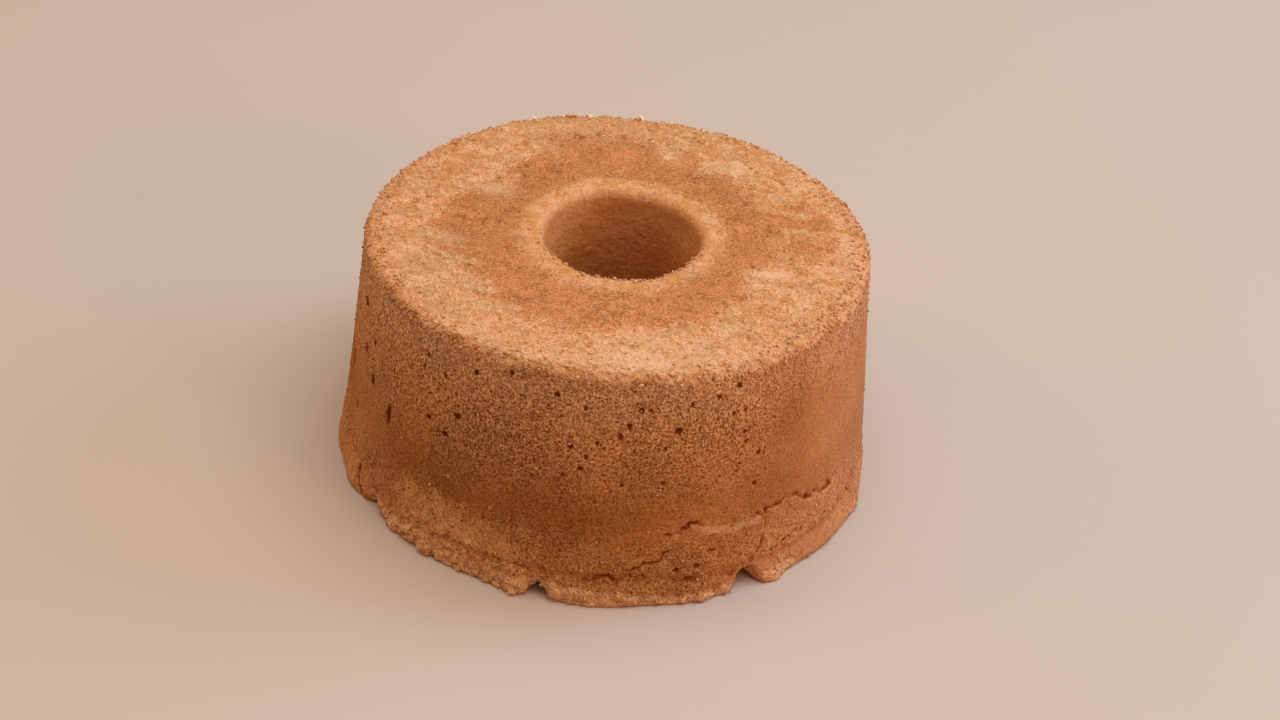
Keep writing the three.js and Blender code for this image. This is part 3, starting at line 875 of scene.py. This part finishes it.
def sponge_finish(name, soak, grain_depth):
    """Baked sponge: brown crust or golden crumb as the mesh's marks say, with grain and pores."""
    finish = bpy.data.materials.new(name)
    finish.use_nodes = True
    tree = finish.node_tree
    start = Value(tree)
    shader = tree.nodes["Principled BSDF"]
    at = start.node("ShaderNodeTexCoord", output="Object")

    def mark(title):
        return start.node("ShaderNodeAttribute", {"attribute_name": title}, output="Fac")

    def step(value, low, high):
        return start.node(
            "ShaderNodeMapRange",
            {"interpolation_type": "SMOOTHSTEP"},
            {"Value": value, "From Min": low, "From Max": high},
        )

    def noise(size):
        facts = {"Vector": at, "Scale": 1 / (size * MM), "Detail": 1.0}
        return step(start.node("ShaderNodeTexNoise", inputs=facts), 0.35, 0.65)

    def mix(share, first, second, way="MIX"):
        settings = {"data_type": "RGBA", "blend_type": way}
        return start.node("ShaderNodeMix", settings, {0: share, 6: first, 7: second}, 2)

    facts = {"Vector": at, "Scale": 1 / (SWIRL * MM), "Detail": 2.0}
    swirl = start.node("ShaderNodeTexNoise", inputs=facts, output="Color")
    reach = (SWIRL_REACH * MM,) * 3
    bent = start.node("ShaderNodeVectorMath", {"operation": "MULTIPLY_ADD"}, {0: swirl, 1: reach, 2: at})

    def cells(size, output, feature="F1"):
        facts = {"Vector": bent, "Scale": 1 / (size * MM)}
        return start.node("ShaderNodeTexVoronoi", {"feature": feature}, facts, output)

    def cell_odds(size, output="Red"):
        """A random share from 0 to 1 for each cell."""
        return start.node("ShaderNodeSeparateColor", inputs={"Color": cells(size, "Color")}, output=output)

    def sunken(size, inward):
        """Small hollows of about that size, each of its own depth: 0 on the walls between them."""
        odds = cell_odds(size)
        return step(inward, 0.04, 0.36) * (0.1 + 0.9 * odds * odds)

    inward = cells(CELL, "Distance", "DISTANCE_TO_EDGE")
    sunk = sunken(CELL, inward)
    knots = sunken(KNOT, cells(KNOT, "Distance", "DISTANCE_TO_EDGE"))
    lace = 1 - step(inward, 0.01, 0.22)
    clots = noise(CLOT)
    specks = noise(SPECK)
    small_odds = cell_odds(SMALL_PORE_GAP, "Green")
    large_odds = cell_odds(LARGE_PORE_GAP)
    brown = mark("brown")
    pores = mark("pores")
    ragged = mark("ragged")
    bare = step(mark("bare") + 0.26 * (clots - 0.5) + 0.3 * (0.3 - sunk), 0.2, 0.8)

    crust_brown = brown + (0.1 + 0.3 * ragged) * (clots - 0.5) + 0.5 * ragged * (knots - 0.3)
    crust = mix(crust_brown + 0.3 * ragged * (0.5 - specks), CRUST_LIGHT, CRUST_DARK)
    crumb_brown = brown + ragged * (0.9 * (clots - 0.5) + 0.5 * (knots - 0.3))
    colour = mix(bare, crust, mix(crumb_brown, CRUMB_PALE, CRUMB_GOLD))
    colour = mix((0.4 * lace + 0.6 * specks) * (0.02 + 0.67 * pores + 0.5 * ragged), colour, LACE)
    shade = (sunk + 0.4 * (1 - specks)) * (0.35 + 0.55 * pores) * (1 - 0.3 * bare)
    colour = mix(shade, colour, SHADE, "MULTIPLY")
    # Painted shade in the hollows of the bare crumb's grain, a little more where it is browner
    cavity_shade = 0.7 * sunk + 1.0 * knots + 0.6 * step(brown, 0.6, 1.1)
    colour = mix(bare * ragged * cavity_shade, colour, CAVITY_SHADE)

    near_small = 1 - step(cells(SMALL_PORE_GAP, "Distance"), 0.12, 0.36)
    near_large = 1 - step(cells(LARGE_PORE_GAP, "Distance"), 0.08, 0.17)
    small_pore = near_small * step(pores - 1.5 * small_odds, 0, 0.2)
    large_pore = near_large * step(pores - 2.2 * large_odds, 0, 0.2)
    pore = small_pore * 0.75 + large_pore
    colour = mix(pore * 0.95, colour, DEEP)
    dust = step((0.5 * lace + 0.5 * specks) * clots, 0.25, 0.9) * 0.4 * ragged * bare
    # Pale dust, with the painted sheen and greying that the pale marks carry
    colour = mix(dust + mark("pale") * (0.9 - 0.7 * sunk), colour, DUST_AND_SHEEN)
    # Painted shade in the cracks, the seam, the pits and the splits, from the hollow marks
    colour = mix(step(mark("hollow") - 0.1 * sunk, 0.12, 0.7) * 0.95, colour, DEEP)

    height = clots * (0.18 + 0.27 * ragged + 0.35 * ragged * bare) - sunk * (0.06 + 0.4 * pores)
    height = height - knots * (0.05 + 0.25 * ragged) - 0.6 * pore
    height = height + specks * (0.05 + 0.2 * pores + 0.15 * ragged)
    facts = {"Height": height, "Strength": 1.0, "Distance": grain_depth * MM}
    bump = start.node("ShaderNodeBump", inputs=facts)
    tree.links.new(colour.output, shader.inputs["Base Color"])
    tree.links.new(bump.output, shader.inputs["Normal"])
    shader.inputs["Roughness"].default_value = SPONGE_ROUGHNESS
    shader.inputs["Specular IOR Level"].default_value = 0
    shader.inputs["Sheen Weight"].default_value = SHEEN_WEIGHT
    shader.inputs["Sheen Roughness"].default_value = SHEEN_ROUGHNESS
    shader.inputs["Sheen Tint"].default_value = SHEEN_TINT
    shader.inputs["Subsurface Weight"].default_value = soak
    shader.inputs["Subsurface Radius"].default_value = SOAK_RADIUS
    shader.inputs["Subsurface Scale"].default_value = SOAK_SCALE * MM
    return finish


cake_mesh.materials.append(sponge_finish("baked_sponge", 0.25, 0.42))
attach(cake, "root")
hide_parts("chiffon_cake")

# Loose crumbs of sponge cling wherever the crust came away: sparse over the top, closer over the
# upper wall, and thick along the torn rim, the top's edge and the front of the hole's lip. Each is
# a small lump, partly pressed into the cake.
CRUMB_SPREAD = 0.45
CRUMB_SIZE_POWER = 2.2
CRUMB_CORNER_SHARES = (0.5, 1.5)
CRUMB_SIDE_SHARES = (0.65, 1.25)
LIP_CRUMBS_OUT, LIP_CRUMBS_HALF_WIDTH = 1.1, 0.9
LIP_CRUMBS_HEIGHTS = (77.3, 78.4)
LIP_CRUMBS_TURN = (55, 95)
LIP_CRUMBS_SHARE = 3
EDGE_CRUMBS_IN, EDGE_CRUMBS_HALF_WIDTH = 1.5, 3
EDGE_CRUMBS_FROM_HEIGHT = 76


def read_faces(name, width, kind=np.float32):
    """One row of numbers for each face of the cake."""
    values = np.empty(width * len(cake_mesh.polygons), dtype=kind)
    cake_mesh.polygons.foreach_get(name, values)
    return values.reshape(-1, width)


face_places = read_faces("center", 3) / MM
face_normals = read_faces("normal", 3)
face_areas = read_faces("area", 1)[:, 0] / MM ** 2
face_starts = read_faces("loop_start", 1, np.int32)[:, 0]
loop_verts = np.empty(len(cake_mesh.loops), dtype=np.int32)
cake_mesh.loops.foreach_get("vertex_index", loop_verts)
face_vert = np.minimum.reduceat(loop_verts, face_starts)  # one vertex gives each face its marks

shape = bmesh.new()
bmesh.ops.create_icosphere(shape, subdivisions=1, radius=1)
shape.verts.index_update()
CRUMB_CORNERS = np.array([vert.co for vert in shape.verts])
CRUMB_FACES = np.array([[vert.index for vert in face.verts] for face in shape.faces])
shape.free()

loose_crumb = sponge_finish("loose_crumb", 0, 0.12)


def random_turns(rng, count):
    """That many random turns in space, as matrices."""
    w, i, j, k = rng.normal(size=(4, count))
    long = np.sqrt(w ** 2 + i ** 2 + j ** 2 + k ** 2)
    w, i, j, k = w / long, i / long, j / long, k / long
    return np.stack([
        1 - 2 * (j * j + k * k), 2 * (i * j - k * w), 2 * (i * k + j * w),
        2 * (i * j + k * w), 1 - 2 * (i * i + k * k), 2 * (j * k - i * w),
        2 * (i * k - j * w), 2 * (j * k + i * w), 1 - 2 * (i * i + j * j),
    ], axis=1).reshape(-1, 3, 3)


def scatter_crumbs(name, per_square, largest, smallest=0.2, *, flatness, whiteness, seed):
    """Crumbs over the cake, as one piece: how many for each face's square millimetre, and how large."""
    rng = np.random.default_rng(seed)
    wanted = rng.poisson(np.maximum(per_square, 0) * face_areas)
    chosen = np.repeat(np.arange(len(face_areas)), wanted)
    count = len(chosen)
    half = blend(smallest, largest, rng.random(count) ** CRUMB_SIZE_POWER)
    spot = face_places[chosen] + rng.uniform(-CRUMB_SPREAD, CRUMB_SPREAD, (count, 3))
    corners = CRUMB_CORNERS[None] * rng.uniform(*CRUMB_CORNER_SHARES, (count, len(CRUMB_CORNERS), 1))
    corners = corners * (half[:, None] * rng.uniform(*CRUMB_SIDE_SHARES, (count, 3)))[:, None]
    corners = np.einsum("cij,cvj->cvi", random_turns(rng, count), corners)
    outward = face_normals[chosen]
    out = np.einsum("cvi,ci->cv", corners, outward)
    corners = corners - flatness * out[:, :, None] * outward[:, None] + spot[:, None]
    corners = np.clip(corners.reshape(-1, 3), low, high)
    first_corner = np.arange(count) * len(CRUMB_CORNERS)
    faces = (CRUMB_FACES[None] + first_corner[:, None, None]).reshape(-1, 3)
    mesh = bpy.data.meshes.new(name)
    mesh.from_pydata((corners * MM).tolist(), [], faces.tolist())
    mesh.polygons.foreach_set("use_smooth", np.ones(len(faces), dtype=bool))
    each = np.repeat(face_vert[chosen], len(CRUMB_CORNERS))
    tone = np.repeat(rng.random(count) ** 2, len(CRUMB_CORNERS))
    nothing = 0 * tone
    add_marks(
        mesh,
        bare=np.maximum(bare[each], 0.3 + 0.5 * tone),
        brown=np.clip(brown[each] - 0.3 * tone, 0, 1),
        pores=nothing,
        # each crumb takes on part of the painted shade of the hollow it sits in
        hollow=0.6 * hollow[each],
        pale=np.maximum(pale[each], whiteness * tone),
        ragged=nothing,
    )
    mesh.materials.append(loose_crumb)
    mesh.update()
    crumbs = bpy.data.objects.new(name, mesh)
    bpy.context.scene.collection.objects.link(crumbs)
    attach(crumbs, "root")


of_top = (top | (height > HEIGHT - SHOULDER_HEIGHT - HAIR))[face_vert]
of_wall = wall[face_vert]
off_lip = (radius > HOLE_TOP_RADIUS + HOLE_LIP)[face_vert]
at_edge = mound(radius - WALL_TOP_RADIUS + EDGE_CRUMBS_IN, EDGE_CRUMBS_HALF_WIDTH)[face_vert]
at_lip = mound(radius - HOLE_TOP_RADIUS - LIP_CRUMBS_OUT, LIP_CRUMBS_HALF_WIDTH)
at_lip *= ease(height, *LIP_CRUMBS_HEIGHTS) * (1 - ease(np.abs(angle), *LIP_CRUMBS_TURN))
at_lip = at_lip[face_vert]

on_top = of_top * off_lip * (0.01 + 0.08 * bare[face_vert]) * (1 - 0.8 * at_edge)
scatter_crumbs("crumbs_top", on_top, 0.6, flatness=0.7, whiteness=0.5, seed=21)

up_to_edge = (of_top | of_wall) * at_edge * (height[face_vert] > EDGE_CRUMBS_FROM_HEIGHT)
on_edge = of_top * at_lip * LIP_CRUMBS_SHARE + up_to_edge
scatter_crumbs("crumbs_edge", on_edge, 0.65, flatness=0.1, whiteness=0.35, seed=24)

on_wall = 0.05 + 0.2 * ease(height[face_vert], 40, 76) + 0.35 * thin[face_vert]
on_wall = of_wall * (on_wall * (1 - 0.7 * smooth_side[face_vert])) * (1 - rim_bare[face_vert])
scatter_crumbs("crumbs_wall", on_wall, 0.5, flatness=0.4, whiteness=0.7, seed=22)

on_rim = of_wall * 1.1 * rim_bare[face_vert]
scatter_crumbs("crumbs_rim", on_rim, 0.6, flatness=0.35, whiteness=0.35, seed=23)

# Thin flakes of dry crust stand up along the far edge of the top, and others lie torn and half
# lifted along the outer edge of the skin. Each is a curled sliver that tapers to its tip.
# A flake: angle and radius round the cake, length, width, lean, and the turn of its tip
STANDING_FLAKES = [
    (175, 76.4, 3.2, 1.7, 62, 70), (176.5, 76, 1.6, 2.2, 50, -30), (203, 76.3, 2.9, 1.2, 22, 60),
    (189, 76.5, 1.5, 1.8, 55, 10), (168, 76.5, 1.4, 1.5, 45, -20), (196, 76.2, 1.2, 1.5, 50, 30),
    (159, 76.8, 1.1, 1.3, 40, 0),
]
LYING_FLAKES = 20
LYING_FLAKES_SEED = 8
LYING_SPREAD = 2.2
LYING_LENGTHS = (0.8, 2.0)
LYING_WIDTHS = (0.8, 2.2)
LYING_LEANS = (2, 14)
LYING_TURN_SPREAD = 50
LYING_BELOW = 30
FLAKE_THICKNESS = 0.2
FLAKE_CURL = 40
LYING_CURL_SHARE, STANDING_CURL_SHARE = 0.3, -0.4
FLAKE_SUNK = 0.25
FLAKE_TAPER = 0.75
FLAKE_WAVE = 0.25
FLAKE_CUP = 0.3
FLAKE_ROUGHNESS = 0.05
FAR_EDGE_Y = 60

flakes = list(STANDING_FLAKES)
rng = np.random.default_rng(LYING_FLAKES_SEED)
for _ in range(LYING_FLAKES):
    turn = rng.uniform(-180, 180)
    first = SKIN_EDGE[0][0]
    edge = np.interp((turn - first) % 360 + first, *zip(*SKIN_EDGE))
    flakes.append((
        turn, edge + rng.normal(0, LYING_SPREAD), rng.uniform(*LYING_LENGTHS),
        rng.uniform(*LYING_WIDTHS), rng.uniform(*LYING_LEANS), rng.normal(0, LYING_TURN_SPREAD),
    ))

shape = bmesh.new()
on_top = np.flatnonzero(top)
for turn, out, length, width, lean, aim in flakes:
    beside = np.radians(turn_between(angle[on_top], turn)) * out
    nearest = on_top[np.argmin((radius[on_top] - out) ** 2 + beside ** 2)]
    root = place[nearest] - np.array((0, 0, FLAKE_SUNK))
    heading = math.radians(turn + aim)
    across = np.array((math.cos(heading), math.sin(heading), 0))
    onward = np.array((math.sin(heading), -math.cos(heading), 0))
    curl = FLAKE_CURL * (LYING_CURL_SHARE if lean < LYING_BELOW else STANDING_CURL_SHARE)
    for vert in bmesh.ops.create_grid(shape, x_segments=4, y_segments=3, size=0.5)["verts"]:
        along, side = vert.co.x + 0.5, vert.co.y * 2
        rise = math.radians(lean + curl * along)
        half_wide = width / 2 * (1 - FLAKE_TAPER * along ** 1.4)
        half_wide *= 1 + FLAKE_WAVE * math.sin(7 * along + turn)
        spot = root + onward * length * along * math.cos(rise) + across * side * half_wide
        cup = FLAKE_WAVE * width * side ** 2 * FLAKE_CUP
        spot[2] += length * along * math.sin(rise) + cup + rng.normal(0, FLAKE_ROUGHNESS)
        vert.co = np.clip(spot, low, high) * MM
bmesh.ops.solidify(shape, geom=shape.faces, thickness=FLAKE_THICKNESS * MM)
bmesh.ops.recalc_face_normals(shape, faces=shape.faces)
put_in_order(shape)
for face in shape.faces:
    face.smooth = True
flake_mesh = bpy.data.meshes.new("flakes")
shape.to_mesh(flake_mesh)
shape.free()
# The standing flakes are painted pale, as if lit from behind
backlit_standing = np.array([vert.co.y for vert in flake_mesh.vertices]) / MM > FAR_EDGE_Y
nothing = np.zeros(len(backlit_standing))
add_marks(
    flake_mesh,
    bare=nothing + 0.5,
    brown=nothing + 0.3,
    pores=nothing,
    hollow=nothing,
    pale=0.15 + 1.1 * backlit_standing,
    ragged=nothing,
)
flake_mesh.materials.append(loose_crumb)
loose_flakes = bpy.data.objects.new("flakes", flake_mesh)
bpy.context.scene.collection.objects.link(loose_flakes)
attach(loose_flakes, "root")
